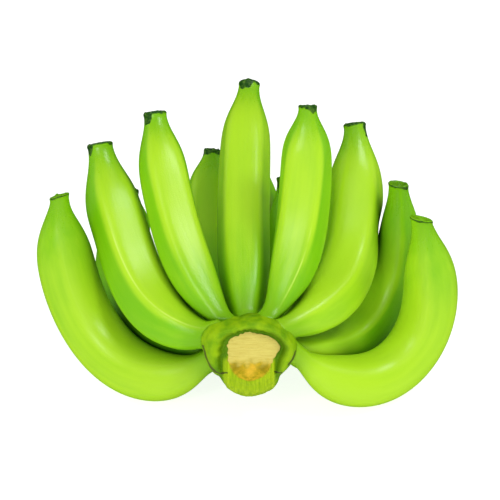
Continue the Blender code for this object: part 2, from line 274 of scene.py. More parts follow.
# The cut's edge is ragged, save underneath.
CUT_RAGGEDNESS = 0.0004
RAGGED_CIRCLE = 0.018
RAGGED_ABOVE = -0.5
# Distances to the fingers are worked out for one row and one column in these. The crown swells to meet them
# between these shares of the way to its rim.
CROWN_STEPS = (2, 4)
WEB_FROM = (0.55, 0.8)

# Places on the crown seen from its front, as (right, up) from its middle.
SCAR_LINES = (
    ((-0.0292, 0.0020), (-0.0274, -0.0045), (-0.0246, -0.0095), (-0.0212, -0.0140)),
    ((0.0292, -0.0015), (0.0272, -0.0058), (0.0246, -0.0088)),
)
CRACK_LINES = (
    ((-0.0212, -0.0140), (-0.0180, -0.0147), (-0.0140, -0.0145)),
    ((0.0200, -0.0142), (0.0160, -0.0138)),
)
STUB_EDGES = (
    ((-0.0135, -0.0040), (-0.0132, -0.0215)), ((0.0150, -0.0085), (0.0146, -0.0200)),
    ((0.0126, -0.0100), (0.0122, -0.0215)), ((0.0102, -0.0150), (0.0100, -0.0230)),
)
SCAR_WIDTH = 0.0010
CRACK_WIDTH = 0.0006
# Half widths of the bare flesh left and right of the middle, by height, and its edge, which is softer below.
FLESH_LEFT = {
    -0.0205: 0.0, -0.018: 0.0066, -0.014: 0.0106, -0.009: 0.0126, -0.0055: 0.0134, 0.006: 0.0136, 0.008: 0.03,
}
FLESH_RIGHT = {
    -0.0205: 0.0, -0.018: 0.0074, -0.014: 0.0116, -0.009: 0.0136, -0.0055: 0.0150, 0.002: 0.0200, 0.004: 0.03,
}
FLESH_EDGE = 0.0005
FLESH_EDGE_BELOW = 0.0022
FLESH_SOFTENS = (-0.0070, -0.0160)
DARK_SPOTS = ((-0.0084, -0.0110, 0.0034), (0.0088, -0.0116, 0.0030), (0.0014, -0.0062, 0.0016))
BRIGHT_SPOTS = ((0.0020, -0.0115, 0.0026), (0.0002, -0.0140, 0.0030))
# Where other marks start and are full: by height, by distance from the stub's middle, and as shares of the way
# to the cut's edge or to the rim.
BROWN_HEIGHTS = (-0.0030, -0.0130)
STUB_MIDDLE = -0.0003
STUB_SIDES = (0.0170, 0.0150)
STUB_HEIGHTS = (-0.004, -0.008)
CUT_SHARES = (1.03, 0.96)
# The collar's inner slope is painted darker: painted shade in the recess round the cut.
SLOPE_SHARES = (1.36, 1.12)
FRONT_SHARES = (1.15, 0.95)
# Noise on the crown: height, wavelength and seed.
CROWN_WAVES = {
    "cut outline": (CUT_RAGGEDNESS, 0.006, 5),
    "flesh edge": (0.00035, 0.0030, 21),
    "brown edge": (0.0012, 0.006, 3),
    "cut fibres": (0.00010, (0.012, 0.0016), 11),
    "torn flesh": (0.0003, 0.0035, 12),
    "stub ribs": (0.00014, (0.0024, 0.03), 13),
    "peel": (0.00025, 0.012, 14),
}
BROWN_SINK = 0.0008
STUB_EDGE_RISE = 0.0005
SCAR_SINK = 0.0004

# Noise in the materials: scale, detail, roughness and what the sides of its place are multiplied by.
PEEL_NOISES = {
    "wide": (45.0, 2.0, 0.5, (1.0, 1.0, 0.45)),
    "streaks": (220.0, 3.0, 0.55, (1.0, 1.0, 0.05)),
    "breaks": (60.0, 3.0, 0.5, (0.3, 0.3, 1.0)),
    "crumbs": (620.0, 4.0, 0.65),
    "patches": (480.0, 4.0, 0.6),
}
CROWN_NOISES = {
    "wide": (130.0, 3.0),
    "upright": (900.0, 3.0, 0.6, (1.0, 0.06, 0.3)),
    "level": (1100.0, 4.0, 0.62, (0.10, 1.0, 0.5)),
    "torn": (420.0, 4.0, 0.6),
}
# Small marks, as flecks_group takes them, and the scale and edge of the wide noise that they follow.
PALE_DOTS = {"Scale": 420.0, "Size": 0.17, "Spread": 0.42}
DARK_DOTS = {"Scale": 170.0, "Size": 0.075, "Spread": 0.52}
CROWN_DOTS = {"Scale": 500.0, "Size": 0.12, "Spread": 0.5}
FLECK_FIELD_SCALE = 0.12
FLECK_FIELD_EDGE = 0.12
# Marks with a ragged edge: share of the noise in it, and where the mark starts and is full.
DRY_EDGE = (0.7, 0.52, 1.10)
BROWN_EDGE = (0.3, 0.15, 1.15)
BARE_EDGE = (0.3, 0.25, 1.0)
SCAR_EDGE = (0.5, 0.55, 0.95)
# Distances from a ridge at which its pale line starts and is full.
RIDGE_LINE = (0.0008, 0.0002)
# How much the skin's grain, the dry end, the tip, the bare flesh and the scars change the roughness.
GRAIN_ROUGHNESS = 0.16
DRY_ROUGHNESS = 0.12
TIP_ROUGHNESS = -0.06
BARE_ROUGHNESS = 0.3
SCAR_ROUGHNESS = 0.2
# Depth of the fine relief, and how far crumbs, fibres and ribs stand out in it.
PEEL_BUMP = 0.0002
CROWN_BUMP = 0.00025
CRUMB_BUMP = 3.0
FIBRE_BUMP = 1.6
RIB_BUMP = 0.8

# Each light: name, place, side, the setting with its power, and whether reflections show it.
LIGHTS = (
    ("key_softbox", (0.0, -1.40, 0.80), 1.40, "key", False),
    ("right_softbox", (0.64, -0.37, 1.29), 0.28, "right", True),
    ("left_softbox", (-0.64, -1.03, 0.80), 0.22, "left", True),
    ("side_fill", (-1.30, 0.45, 0.45), 1.20, "fill", False),
    ("side_fill", (1.30, 0.45, 0.45), 1.20, "fill", False),
)
LIGHTS_AIM = Vector((0.0, -0.02, 0.08))
FLOOR_DROP = 0.0003
FLOOR_POINTS = 9
FLOOR_ROUGHNESS = 0.7
SENSOR_WIDTH = 36.0
WHITE = (1.0, 1.0, 1.0, 1.0)


def unit(vectors):
    """Vectors scaled to length one."""
    return vectors / np.maximum(np.linalg.norm(vectors, axis=-1, keepdims=True), 1e-12)


def smooth_step(value, low, high):
    """0 at low, 1 at high, and 3 t^2 - 2 t^3 between them."""
    t = np.clip((value - low) / (high - low), 0.0, 1.0)
    return t * t * (3 - 2 * t)


def fade(distance, run, power=2):
    """exp(-(distance / run) ^ power): 1 at no distance, and near 0 past the run."""
    return np.exp(-(distance / run) ** power)


def turns(count, start=0.0):
    """Even angles round a full turn, in radians."""
    return (np.arange(count) + start) * 2 * np.pi / count


def wrapped(angle):
    """Angles in radians brought to between minus and plus half a turn."""
    return (angle + np.pi) % (2 * np.pi) - np.pi


def side_by_side(*numbers):
    """Arrays of numbers joined to one array of vectors."""
    return np.stack(np.broadcast_arrays(*numbers), -1)


def ripple(places, wavelength, seed, waves=14):
    """Smooth noise between about -1 and 1: the mean of plane waves sin(k . p + phase) in seeded directions.

    The wavelength is one number, or one a side for noise that is stretched.
    """
    rng = np.random.default_rng(seed)
    directions = unit(rng.normal(size=(waves, places.shape[-1])))
    size = 2 * np.pi / np.asarray(wavelength) * directions * rng.uniform(0.6, 1.5, (waves, 1))
    phases = rng.uniform(0, 2 * np.pi, waves)
    return np.sin(places @ size.T + phases).sum(-1) * math.sqrt(2 / waves) * 0.6


def spine(name, steps):
    """Evenly spaced points of a finger's centre line, with its direction, sideways and hollow-side vectors.

    The slope goes from root to tip by share - focus * sin(2 pi share) / (2 pi) + early * sin(pi share)^2, and
    the heading turns by share + early * sin(pi share)^2.
    The points are the running sum of the direction that the two angles give.
    """
    finger = FINGERS[name]
    share = np.linspace(0.0, 1.0, steps + 1)
    moved = finger.early * np.sin(np.pi * share) ** 2
    bend = share - finger.focus * np.sin(2 * np.pi * share) / (2 * np.pi) + moved
    slope = np.radians(finger.root_slope + (finger.tip_slope - finger.root_slope) * bend)
    facing = np.radians(finger.heading + finger.turn * (share + moved))
    level_run = np.cos(slope)
    along = np.stack([np.sin(facing) * level_run, np.cos(facing) * level_run, np.sin(slope)], 1)
    row_back = OUTER_ROW_BACK if "outer" in name else 0.0
    start = CROWN_AT + np.array([
        ROOT_HALF_WIDTH * np.sin(facing[0]),
        ROOT_DEPTH * np.cos(facing[0]) + ROOT_BACK + row_back,
        finger.root_height,
    ])
    moves = (along[1:] + along[:-1]) / 2 * finger.length / steps
    points = start + np.vstack([np.zeros(3), np.cumsum(moves, axis=0)])
    level = np.stack([np.cos(facing), -np.sin(facing), np.zeros_like(facing)], 1)
    side = unit(level - (level * along).sum(1, keepdims=True) * along)
    return points, along, side, np.cross(side, along)


def girth(name, share):
    """Mean radius at a share of the length: a narrow neck, a long even body and a blunt flower end.

    The swell and the taper are both 1 - exp(-(distance / run) ** power).
    """
    finger = FINGERS[name]
    neck_share, neck_length, swell_length = NECKS.get(name, USUAL_NECK)
    from_neck = np.maximum(share * finger.length - neck_length, 0.0)
    from_end = (1.0 - share) * finger.length
    swell = neck_share + (1 - neck_share) * (1 - fade(from_neck, swell_length, SWELL_POWER))
    taper = finger.end_share + (1 - finger.end_share) * (1 - fade(from_end, finger.end_run, END_POWER))
    return finger.radius * swell * taper * (1 - MIDDLE_SWELL + MIDDLE_SWELL * np.sin(np.pi * share))


def section(name, share, angle):
    """Radius around a finger as a share of its mean: soft facets, one of them on the hollow side.

    The facets are a power mean of flat sides, and fade to a circle at both ends of the finger.
    """
    power = ROUNDER.get(name, FACET_POWER)
    lean = np.maximum(np.cos(angle[:, None] - turns(FACETS)), 0.0) ** power
    hold = lean.sum(1) ** (-1 / power)
    from_end = np.minimum(share, 1.0 - share) * FINGERS[name].length
    return 1.0 + (1.0 - fade(from_end, FACET_FADE))[:, None] * (hold / hold.mean() - 1.0)


def room(points, others):
    """For each point, the distance to the nearest other finger's skin, less than zero inside it."""
    least = np.full(len(points), np.inf)
    for centres, radii in others:
        start = centres[:-1]
        run = centres[1:] - start
        offset = points[:, None, :] - start
        share = np.clip((offset * run).sum(2) / (run ** 2).sum(1), 0.0, 1.0)
        apart = np.linalg.norm(offset - share[..., None] * run, axis=2)
        apart = apart - (radii[:-1] + share * (radii[1:] - radii[:-1]))
        least = np.minimum(least, apart.min(1))
    return least


def weights(known, wanted, period=None):
    """Matrix that carries values at evenly spaced known places to the wanted places, by Catmull-Rom curves."""
    count = len(known)
    step = known[1] - known[0]
    at = (wanted - known[0]) / step
    first = np.floor(at).astype(int)
    if period is None:
        first = np.clip(first, 0, count - 2)
    t = at - first
    parts = (
        (-t + 2 * t ** 2 - t ** 3) / 2,
        (2 - 5 * t ** 2 + 3 * t ** 3) / 2,
        (t + 4 * t ** 2 - 3 * t ** 3) / 2,
        (t ** 3 - t ** 2) / 2,
    )
    matrix = np.zeros((len(wanted), count))
    rows = np.arange(len(wanted))
    for shift, part in zip((-1, 0, 1, 2), parts):
        column = (first + shift) % count if period else np.clip(first + shift, 0, count - 1)
        np.add.at(matrix, (rows, column), part)
    return matrix


def at_shares(line, share):
    """Centre, direction, sideways and hollow-side vectors of a spine at shares of its length."""
    points, along, side, hollow = line
    carry = weights(np.linspace(0.0, 1.0, len(points)), share)
    return carry @ points, unit(carry @ along), unit(carry @ side), unit(carry @ hollow)


def rays(hollows, sides, angle):
    """Directions round a centre line at angles from its hollow side."""
    return hollows[:, None, :] * np.cos(angle)[:, None] + sides[:, None, :] * np.sin(angle)[:, None]


def around_line(centres, outward, radii):
    """Points at these radii from a centre line."""
    return centres[:, None, :] + outward * radii[..., None]


def coarse_fingers():
    """Centre line and radii of every finger at a few points."""
    share = np.linspace(0.0, 1.0, PRESS_SPINE_STEPS + 1)
    return {name: (spine(name, PRESS_SPINE_STEPS)[0], girth(name, share)) for name in FINGERS}


def neighbours(name, points, fingers):
    """The other fingers that come near these points of a finger's centre line."""
    return [
        (centres, radii) for key, (centres, radii) in fingers.items()
        if key != name and np.linalg.norm(centres[:, None] - points, axis=2).min() < PRESS_NEIGHBOUR_RANGE
    ]


def press_limits(name, line, others, gap):
    """How far each ray from the centre line may go before it is as deep in a neighbour as that is in it.

    The place is found by halving on a coarse grid of shares and angles.
    """
    share = np.linspace(0.0, 1.0, PRESS_ROWS)
    angle = turns(PRESS_COLUMNS)
    centres, _, sides, hollows = at_shares(line, share)
    outward = rays(hollows, sides, angle)
    mean = girth(name, share)[:, None]
    low = np.zeros(outward.shape[:2])
    high = low + mean * PRESS_REACH
    for _ in range(PRESS_HALVINGS):
        middle = (low + high) / 2
        spare = room(around_line(centres, outward, middle).reshape(-1, 3), others).reshape(middle.shape)
        too_far = middle - mean - spare + gap > 0
        high = np.where(too_far, middle, high)
        low = np.where(too_far, low, middle)
    return share, angle, low


def row_shares(length):
    """Shares of a finger's length at which it gets a ring: close together at the tip and in the neck."""
    neck = np.arange(0.0, NECK_ZONE, NECK_STEP)
    body_rows = int(round((length - TIP_ZONE - NECK_ZONE) / BODY_STEP))
    body = np.linspace(NECK_ZONE, length - TIP_ZONE, body_rows, endpoint=False)
    tip = np.linspace(length - TIP_ZONE, length, int(round(TIP_ZONE / TIP_STEP)) + 1)
    return np.concatenate([neck, body, tip]) / length


def ring_mesh(name, rings, first, last, fields):
    """A closed smooth mesh from rings of points (rows, columns, 3), with a fan to a point at each end.

    Each field is a number or a vector for every point of the rings, and becomes an attribute of that name.
    """
    rows, columns = rings.shape[:2]
    index = np.arange(rows * columns).reshape(rows, columns)
    after = np.roll(index, -1, axis=1)
    quads = np.stack([index[:-1], after[:-1], after[1:], index[1:]], -1).reshape(-1, 4)
    low_fan = np.stack([np.full(columns, rows * columns), after[0], index[0]], -1)
    high_fan = np.stack([np.full(columns, rows * columns + 1), index[-1], after[-1]], -1)
    places = np.vstack([rings.reshape(-1, 3), first, last])
    mesh = bpy.data.meshes.new(name)
    mesh.from_pydata(places, [], quads.tolist() + low_fan.tolist() + high_fan.tolist())
    for key, field in fields.items():
        width = field.shape[2] if field.ndim == 3 else 1
        flat = field.reshape(rows * columns, width)
        ends = np.stack([field[0].reshape(columns, width).mean(0), field[-1].reshape(columns, width).mean(0)])
        kind = "FLOAT_VECTOR" if width == 3 else "FLOAT"
        made = mesh.attributes.new(key, kind, "POINT")
        made.data.foreach_set("vector" if width == 3 else "value", np.vstack([flat, ends]).ravel())
    mesh.polygons.foreach_set("use_smooth", np.ones(len(mesh.polygons), bool))
    mesh.update()
    return mesh


def grid_normals(rings, outward_sign):
    """Normals of a grid of points: the cross product of its two central differences."""
    around_it = np.roll(rings, -1, axis=1) - np.roll(rings, 1, axis=1)
    return unit(np.cross(around_it, np.gradient(rings, axis=0))) * outward_sign


def fillet(distance, reach):
    """How far a surface swells where another one meets it: reach / 4 * (1 - |distance| / reach) squared."""
    return reach / 4 * np.maximum(1 - np.abs(distance) / reach, 0.0) ** 2


def crown_axes():
    """The crown's right, up and front directions."""
    lean = np.radians(CROWN_TILT)
    return np.array([
        [1.0, 0.0, 0.0],
        [0.0, np.sin(lean), np.cos(lean)],
        [0.0, -np.cos(lean), np.sin(lean)],
    ])


def around(angles):
    """The crown's outline at any angles: the listed values joined by straight lines, then softened."""
    fine = np.arange(0.0, 360.0, OUTLINE_STEP)
    listed = np.array(list(CROWN_OUTLINE.values()))
    degrees = np.array(list(CROWN_OUTLINE))
    reach = (fine + 180.0) % 360.0 - 180.0
    weight = np.exp(-(reach / OUTLINE_SOFTNESS) ** 2 / 2)
    spread = np.fft.rfft(weight / weight.sum())
    columns = []
    for column in listed.T:
        joined = np.interp(fine, degrees, column, period=360.0)
        softened = np.fft.irfft(np.fft.rfft(joined) * spread, len(fine))
        columns.append(np.interp(angles, fine, softened, period=360.0))
    return columns


def near_lines(places, lines, width):
    """1 on any of these lines of joined points and exp(-(distance / width)^2) beside it."""
    apart = []
    for line in lines:
        line = np.array(line)
        start = line[:-1]
        run = line[1:] - start
        offset = places[..., None, :] - start
        share = np.clip((offset * run).sum(-1) / (run ** 2).sum(-1), 0.0, 1.0)
        apart.append(np.linalg.norm(offset - share[..., None] * run, axis=-1).min(-1))
    return fade(np.min(apart, axis=0), width)


def spots(places, listed):
    """The largest of exp(-(distance / size)^2) for spots listed as (right, up, size)."""
    return np.max([fade(np.linalg.norm(places - spot[:2], axis=-1), spot[2]) for spot in listed], axis=0)


def crown_waves(places, key):
    """One of the crown's listed noises, at its height."""
    height, wavelength, seed = CROWN_WAVES[key]
    return height * ripple(places, wavelength, seed)


def crown_surface(columns, front_rows, back_rows):
    """The crown's skin as a grid of (right, up, front) places, from the cut's middle to the middle of the back.

    Rings at the cut's middle, its edge, the groove, the collar's ridge, the rim and the back are joined by
    straight lines, and the corners are then rounded by a Gaussian along the profile.
    """
    angles = np.arange(columns) * 360.0 / columns
    cut, cut_height, ridge, ridge_height, rim, rim_height = around(angles)
    turn = np.radians(angles)
    circle = RAGGED_CIRCLE * side_by_side(np.cos(turn), np.sin(turn))
    cut = cut + crown_waves(circle, "cut outline") * (np.sin(turn) > RAGGED_ABOVE)
    inward, raised = COLLAR_INSIDE
    outward, lowered = COLLAR_OUTSIDE
    profile = [
        (cut * 0, cut * 0 + CUT_RISE),
        (cut * CUT_RING_SHARE, cut_height * CUT_RING_SINK + CUT_RING_RISE),
        (cut, cut_height),
        (cut + GROOVE_WIDTH, cut_height - GROOVE_DEPTH * (ridge_height > 0)),
        (cut + (ridge - cut) * inward, cut_height + (ridge_height - cut_height) * raised),
        (ridge, ridge_height),
        (ridge + (rim - ridge) * outward, ridge_height + (rim_height - ridge_height) * lowered),
        (rim, rim_height),
    ]
    front_count = len(profile)
    profile += [(rim * share, np.full_like(rim, depth)) for share, depth in CROWN_BACK]
    profile += [(cut * 0, cut * 0 + CROWN_DEPTH)]
    profile = np.array(profile)
    chord = np.linalg.norm(np.diff(profile, axis=0), axis=1).mean(1)
    run = np.concatenate([[0.0], np.cumsum(chord)])
    front = np.linspace(0.0, run[front_count - 1], front_rows)
    back = np.linspace(run[front_count - 1], run[-1], back_rows)[1:]
    at = np.concatenate([front, back])
    place = np.clip(np.searchsorted(run, at, side="right") - 1, 0, len(run) - 2)
    share = ((at - run[place]) / chord[place])[:, None, None]
    lower, upper = (profile.transpose(0, 2, 1)[place + step] for step in (0, 1))
    joined = lower + (upper - lower) * share
    reach = (at[:, None] - at) / CROWN_ROUNDING
    soften = np.exp(-reach ** 2 / 2) * np.gradient(at)
    soften /= soften.sum(1, keepdims=True)
    soft = np.einsum("ij,jkl->ikl", soften, joined)
    ends = (np.minimum(at, at[-1] - at) < CROWN_ROUNDING * 3)[:, None, None]
    soft = np.where(ends, joined, soft)
    radius, height = soft[..., 0], soft[..., 1]
    grid = side_by_side(radius * np.cos(turn), radius * np.sin(turn), height)
    return grid, radius / cut, at / run[front_count - 1]


def crown_in_world(places):
    """Places given as (right, up, front) from the crown's middle, in the row frame."""
    return CROWN_AT + places @ crown_axes()


def nearest_signed(points, skin, normals):
    """Distance from each point to the nearest listed skin point's tangent plane, less than zero inside."""
    square = (points ** 2).sum(1)[:, None] - 2 * points @ skin.T + (skin ** 2).sum(1)
    nearest = square.argmin(1)
    flat = ((points - skin[nearest]) * normals[nearest]).sum(1)
    far = np.sqrt(np.maximum(square[np.arange(len(points)), nearest], 0.0))
    return np.where(far > np.abs(flat) * 2, far * np.sign(flat), flat)


class Nodes:
    """Puts nodes into one tree. A value that isn't a socket is set on the input as it is."""

    def __init__(self, tree):
        self.tree = tree

    def join(self, value, socket):
        """Links a socket, or sets a plain value."""
        if isinstance(value, bpy.types.NodeSocket):
            self.tree.links.new(value, socket)
        else:
            socket.default_value = value

    def put(self, kind, settings=(), inputs=()):
        """A node of this kind with these settings and inputs."""
        node = self.tree.nodes.new(kind)
        for key, value in dict(settings).items():
            setattr(node, key, value)
        for key, value in dict(inputs).items():
            self.join(value, node.inputs[key])
        return node

    def attribute(self, name, output="Fac"):
        """A number or a vector that the mesh carries."""
        return self.put("ShaderNodeAttribute", {"attribute_name": name}).outputs[output]

    def masks(self, *names):
        """Numbers that the mesh carries, by name."""
        return {name: self.attribute(name) for name in names}

    def maths(self, operation, *values):
        """One step of arithmetic."""
        return self.put("ShaderNodeMath", {"operation": operation}, dict(enumerate(values))).outputs[0]

    def blend(self, share, first, second):
        """The first colour at share 0 and the second at share 1."""
        node = self.put("ShaderNodeMix", {"data_type": "RGBA"}, {0: share, 6: first, 7: second})
        return node.outputs[2]

    def ease(self, value, low, high):
        """0 at low and 1 at high, with a smooth step between them."""
        settings = {"interpolation_type": "SMOOTHSTEP"}
        inputs = {"Value": value, "From Min": low, "From Max": high, "To Min": 0.0, "To Max": 1.0}
        return self.put("ShaderNodeMapRange", settings, inputs).outputs[0]

    def plus(self, value, other, share):
        """A value with a share of another added."""
        return self.maths("MULTIPLY_ADD", other, share, value)

    def sway(self, value, noise, strength):
        """A value that noise moves both ways."""
        return self.plus(value, self.maths("SUBTRACT", noise, 0.5), strength)

    def ragged(self, mask, noise, share, low, high):
        """A mask eased from low to high, its edge made ragged by a share of noise."""
        return self.ease(self.plus(mask, noise, share), low, high)

    def layers(self, colour, *listed):
        """A colour under others, each listed as (mask, strength, colour)."""
        for mask, strength, over in listed:
            colour = self.blend(self.maths("MULTIPLY", mask, strength), colour, over)
        return colour

    def noise(self, place, scale, detail=2.0, roughness=0.5, stretch=None):
        """Noise from 0 to 1, of a place whose sides may be multiplied."""
        if stretch:
            place = self.put("ShaderNodeMapping", (), {"Vector": place, "Scale": stretch}).outputs[0]
        inputs = {"Vector": place, "Scale": scale, "Detail": detail, "Roughness": roughness}
        return self.put("ShaderNodeTexNoise", (), inputs).outputs["Fac"]

    def noises(self, place, listed):
        """Listed noises, by name."""
        return {key: self.noise(place, *settings) for key, settings in listed.items()}

    def cells(self, place, scale):
        """Distance to the nearest of scattered points, in cells."""
        return self.put("ShaderNodeTexVoronoi", (), {"Vector": place, "Scale": scale}).outputs["Distance"]


def node_group(name, inputs, outputs, build):
    """A shader node group, made once. build(nodes, given) returns its numbers by name.

    An input with no value is a place, and the others are numbers.
    """
    if name in bpy.data.node_groups:
        return bpy.data.node_groups[name]
    tree = bpy.data.node_groups.new(name, "ShaderNodeTree")
    for key, value in inputs.items():
        kind = "NodeSocketVector" if value is None else "NodeSocketFloat"
        socket = tree.interface.new_socket(name=key, in_out="INPUT", socket_type=kind)
        if value is not None:
            socket.default_value = value
    for key in outputs:
        tree.interface.new_socket(name=key, in_out="OUTPUT", socket_type="NodeSocketFloat")
    nodes = Nodes(tree)
    given = nodes.put("NodeGroupInput").outputs
    leave = nodes.put("NodeGroupOutput")
    for key, value in build(nodes, given).items():
        nodes.join(value, leave.inputs[key])
    return tree


def flecks_group():
    """Scattered small marks: cells whose middle is closer than the size, kept where a wide noise is high."""
    def build(nodes, given):
        dots = nodes.ease(nodes.cells(given["Place"], given["Scale"]), given["Size"], 0.0)
        wide = nodes.noise(given["Place"], nodes.maths("MULTIPLY", given["Scale"], FLECK_FIELD_SCALE))
        kept = nodes.ease(wide, given["Spread"], nodes.maths("ADD", given["Spread"], FLECK_FIELD_EDGE))
        return {"Mask": nodes.maths("MULTIPLY", dots, kept)}

    inputs = {"Place": None, "Scale": 300.0, "Size": 0.12, "Spread": 0.5}
    return node_group("flecks", inputs, ("Mask",), build)


def grain_group():
    """Fine skin relief: short pores and long fibres along the third side of the place."""
    def build(nodes, given):
        pores = nodes.noise(given["Place"], given["Pore scale"], 3.0, 0.6)
        fibres = nodes.noise(given["Place"], given["Fibre scale"], stretch=(1.0, 1.0, 0.06))
        pores = nodes.maths("MULTIPLY", pores, nodes.maths("SUBTRACT", 1.0, given["Fibre share"]))
        return {"Height": nodes.maths("ADD", nodes.maths("MULTIPLY", fibres, given["Fibre share"]), pores)}

    inputs = {"Place": None, "Pore scale": 1400.0, "Fibre scale": 500.0, "Fibre share": 0.5}
    return node_group("skin_grain", inputs, ("Height",), build)


def finished_material(name, build):
    """A material with a principled shader. build(nodes, shader) sets its inputs."""
    made = bpy.data.materials.new(name)
    made.use_nodes = True
    made.node_tree.nodes.clear()
    nodes = Nodes(made.node_tree)
    shader = nodes.put("ShaderNodeBsdfPrincipled")
    leave = nodes.put("ShaderNodeOutputMaterial")
    nodes.join(shader.outputs[0], leave.inputs["Surface"])
    build(nodes, shader)
    return made


def bump(nodes, height, distance):
    """A normal from a height."""
    return nodes.put("ShaderNodeBump", (), {"Height": height, "Distance": distance, "Strength": 1.0}).outputs[0]


def place_group(nodes, group, inputs):
    """A node group in this tree, with these inputs."""
    return nodes.put("ShaderNodeGroup", {"node_tree": group}, inputs).outputs


def peel_material(look):
    """Waxy green peel: soft mottling and streaks, painted light and shade on its facets and between fingers,
    pale ridge lines, small flecks and a dark, dry flower end.
    """
    def build(nodes, shader):
        place = nodes.attribute("straight", "Vector")
        mask = nodes.masks("tone", "shade", "dry", "ridge_gap", "ridge_wear", "near_tip", "near_root")
        noise = nodes.noises(place, PEEL_NOISES)
        grain = place_group(nodes, grain_group(), {"Place": place})
        pale_dots, dark_dots = (
            place_group(nodes, flecks_group(), {"Place": place, **dots})[0] for dots in (PALE_DOTS, DARK_DOTS)
        )
        # The tone mask carries painted light and shade as well as the peel's own changes of colour.
        mottle = nodes.sway(mask["tone"], noise["wide"], look.mottling)
        mottle = nodes.sway(mottle, noise["streaks"], look.streaks)
        green = nodes.blend(nodes.ease(mottle, 0.0, 1.0), look.deep, look.light)
        line = nodes.maths("MULTIPLY", nodes.ease(mask["ridge_gap"], *RIDGE_LINE), mask["ridge_wear"])
        line = nodes.maths("MULTIPLY", line, nodes.ease(noise["breaks"], 0.2, 0.6))
        # The shade layer is painted shade where the fingers shade each other.
        green = nodes.layers(
            green,
            (line, look.ridges, look.ridge),
            (mask["shade"], look.shading, look.shade),
            (mask["near_root"], 0.6, look.neck),
            (mask["near_tip"], 0.7, look.tip),
            (pale_dots, 0.16, look.ridge),
            (dark_dots, 0.55, look.fleck),
        )
        dried = nodes.ragged(mask["dry"], noise["crumbs"], *DRY_EDGE)
        withered = nodes.blend(nodes.ease(noise["patches"], 0.42, 0.68), look.scar, look.husk)
        nodes.join(nodes.blend(dried, green, withered), shader.inputs["Base Color"])
        rough = nodes.plus(look.roughness - GRAIN_ROUGHNESS / 2, grain["Height"], GRAIN_ROUGHNESS)
        rough = nodes.plus(rough, dried, DRY_ROUGHNESS)
        nodes.join(nodes.plus(rough, mask["near_tip"], TIP_ROUGHNESS), shader.inputs["Roughness"])
        crumbs = nodes.maths("MULTIPLY", noise["crumbs"], CRUMB_BUMP)
        height = nodes.plus(grain["Height"], dried, crumbs)
        nodes.join(bump(nodes, height, PEEL_BUMP), shader.inputs["Normal"])
        shader.inputs["Specular IOR Level"].default_value = look.gloss

    return finished_material("banana_peel", build)


def crown_material(look):
    """The crown's peel with painted shade on the collar's inner slope, its fibrous cream cut with a browned
    lower part, the streaked stub and scar lines.
    """
    def build(nodes, shader):
        place = nodes.attribute("front", "Vector")
        mask = nodes.masks("flesh", "brown", "ember", "dark", "stub", "scar", "slope", "edge")
        noise = nodes.noises(place, CROWN_NOISES)
        torn = noise["torn"]
        grain = place_group(nodes, grain_group(), {"Place": place, "Fibre share": 0.25})
        flecks = place_group(nodes, flecks_group(), {"Place": place, **CROWN_DOTS})
        collar = nodes.blend(nodes.ease(noise["wide"], 0.3, 0.7), look.collar, look.collar_light)
        # Painted shade on the collar's inner slope, down to the cut.
        collar = nodes.layers(collar, (mask["slope"], 0.85, look.slope))
        streaked = nodes.blend(nodes.ease(noise["upright"], 0.20, 0.80), look.stub, look.stub_light)
        peel = nodes.layers(
            nodes.blend(mask["stub"], collar, streaked),
            (mask["edge"], 0.8, look.stub_light),
            (flecks[0], 0.35, look.slope),
        )
        cream = nodes.blend(nodes.ease(noise["level"], 0.22, 0.78), look.cut_deep, look.cut)
        baked = nodes.layers(
            nodes.blend(nodes.ease(torn, 0.35, 0.62), look.brown_deep, look.brown),
            (mask["dark"], 0.8, look.brown_dark),
            (mask["ember"], 0.9, look.ember),
        )
        inside = nodes.blend(nodes.ragged(mask["brown"], torn, *BROWN_EDGE), cream, baked)
        bare = nodes.ragged(mask["flesh"], torn, *BARE_EDGE)
        scarred = nodes.ragged(mask["scar"], torn, *SCAR_EDGE)
        colour = nodes.layers(nodes.blend(bare, peel, inside), (scarred, 0.85, look.scar))
        nodes.join(colour, shader.inputs["Base Color"])
        rough = nodes.plus(look.roughness, bare, BARE_ROUGHNESS)
        nodes.join(nodes.plus(rough, scarred, SCAR_ROUGHNESS), shader.inputs["Roughness"])
        fibres = nodes.maths("MULTIPLY", nodes.maths("ADD", noise["level"], torn), bare)
        ribs = nodes.maths("MULTIPLY", noise["upright"], mask["stub"])
        height = nodes.plus(nodes.plus(grain["Height"], ribs, RIB_BUMP), fibres, FIBRE_BUMP)
        nodes.join(bump(nodes, height, CROWN_BUMP), shader.inputs["Normal"])
        shader.inputs["Specular IOR Level"].default_value = look.gloss

    return finished_material("crown_peel_and_cut", build)


def finish_piece(name, mesh, material, slot, *nodes):
    """An object of this mesh that rides on the root body and stands for these CAD nodes."""
    mesh.materials.append(material)
    piece = bpy.data.objects.new(name, mesh)
    bpy.context.scene.collection.objects.link(piece)
    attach(piece, "root")
    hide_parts(*nodes)
    return piece


def tint(name, description, value):
    """A setting that holds a colour in linear light."""
    return bpy.props.FloatVectorProperty(
        name=name, description=description, default=(*value, 1.0), subtype="COLOR", size=4, min=0.0, max=1.0
    )


def amount(name, description, value, **more):
    """A setting that holds a number."""
    return bpy.props.FloatProperty(name=name, description=description, default=value, **more)


def metres(name, description, value):
    """A setting that holds a length in metres."""
    return amount(name, description, value, unit="LENGTH")


class FingerShape(bpy.types.PropertyGroup):
    """Sizes of the fingers' finer forms."""

    gap: metres("Gap", "Gap between fingers that grew against each other", 0.0003)
    rounding: metres("Pressed edge rounding", "Softness of the edge of a pressed side", 0.0012)
    # Painted shade: how far the dark green painted between fingers goes from a neighbour.
    painted_shade_run: metres("Shade width", "How far the deep green goes from a neighbour", 0.0021)
    unevenness: metres("Unevenness", "Height of the slow waves in the skin", 0.00022)
    web: metres("Web", "How far a neck and the crown run into each other", 0.005)
    husk: metres("Husk height", "Height of the dry remains on the flower end", 0.0005)
    faint: amount("Faint ridges", "Strength of the pale line on ridges that are hardly worn", 0.10)


